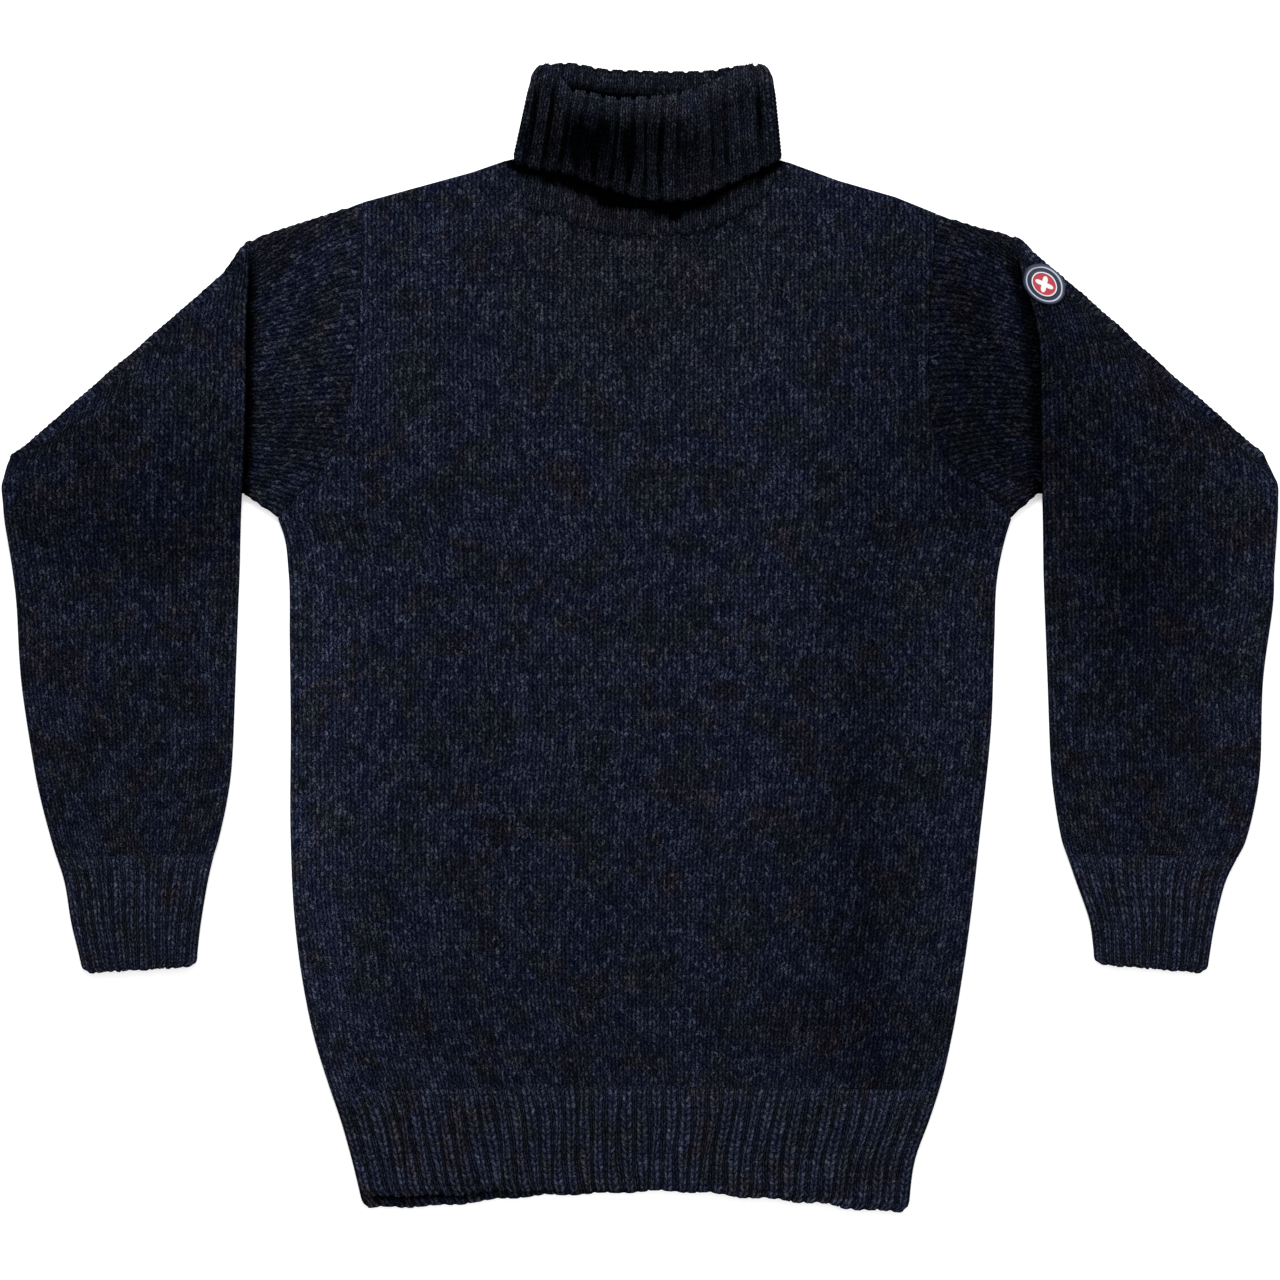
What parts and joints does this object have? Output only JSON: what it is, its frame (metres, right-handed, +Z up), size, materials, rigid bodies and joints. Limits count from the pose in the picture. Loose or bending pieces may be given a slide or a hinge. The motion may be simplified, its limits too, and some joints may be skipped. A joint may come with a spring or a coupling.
{
  "type": "roll neck sweater",
  "caption": "Chunky knitted wool sweater laid flat, with a ribbed roll neck turned down, ribbed hem and cuffs, and both sleeves folded down beside the body.",
  "frame": {"origin": "middle of the garment's outline, on the surface it lies on", "axes": "+Z up from the surface towards the front panel, +Y towards the neck, +X towards the wearer's left sleeve"},
  "size_m": [0.9168, 0.8238, 0.0172],
  "materials": {
    "body_knit": "dark navy melange wool, stocking stitch",
    "sleeve_knit": "dark navy melange wool, stocking stitch",
    "rib_knit": "dark navy melange wool, one by one rib",
    "collar_knit": "dark navy melange wool, wide rib",
    "badge": "matte moulded rubber in grey, navy, white and red"
  },
  "bodies": {
    "root": {"front": "body_knit", "back": "body_knit", "front_hem_rib": "rib_knit", "back_hem_rib": "rib_knit", "left_sleeve": "sleeve_knit", "right_sleeve": "sleeve_knit", "left_cuff": "rib_knit", "right_cuff": "rib_knit", "collar": "collar_knit", "sleeve_badge": "badge"}
  },
  "joints": []
}
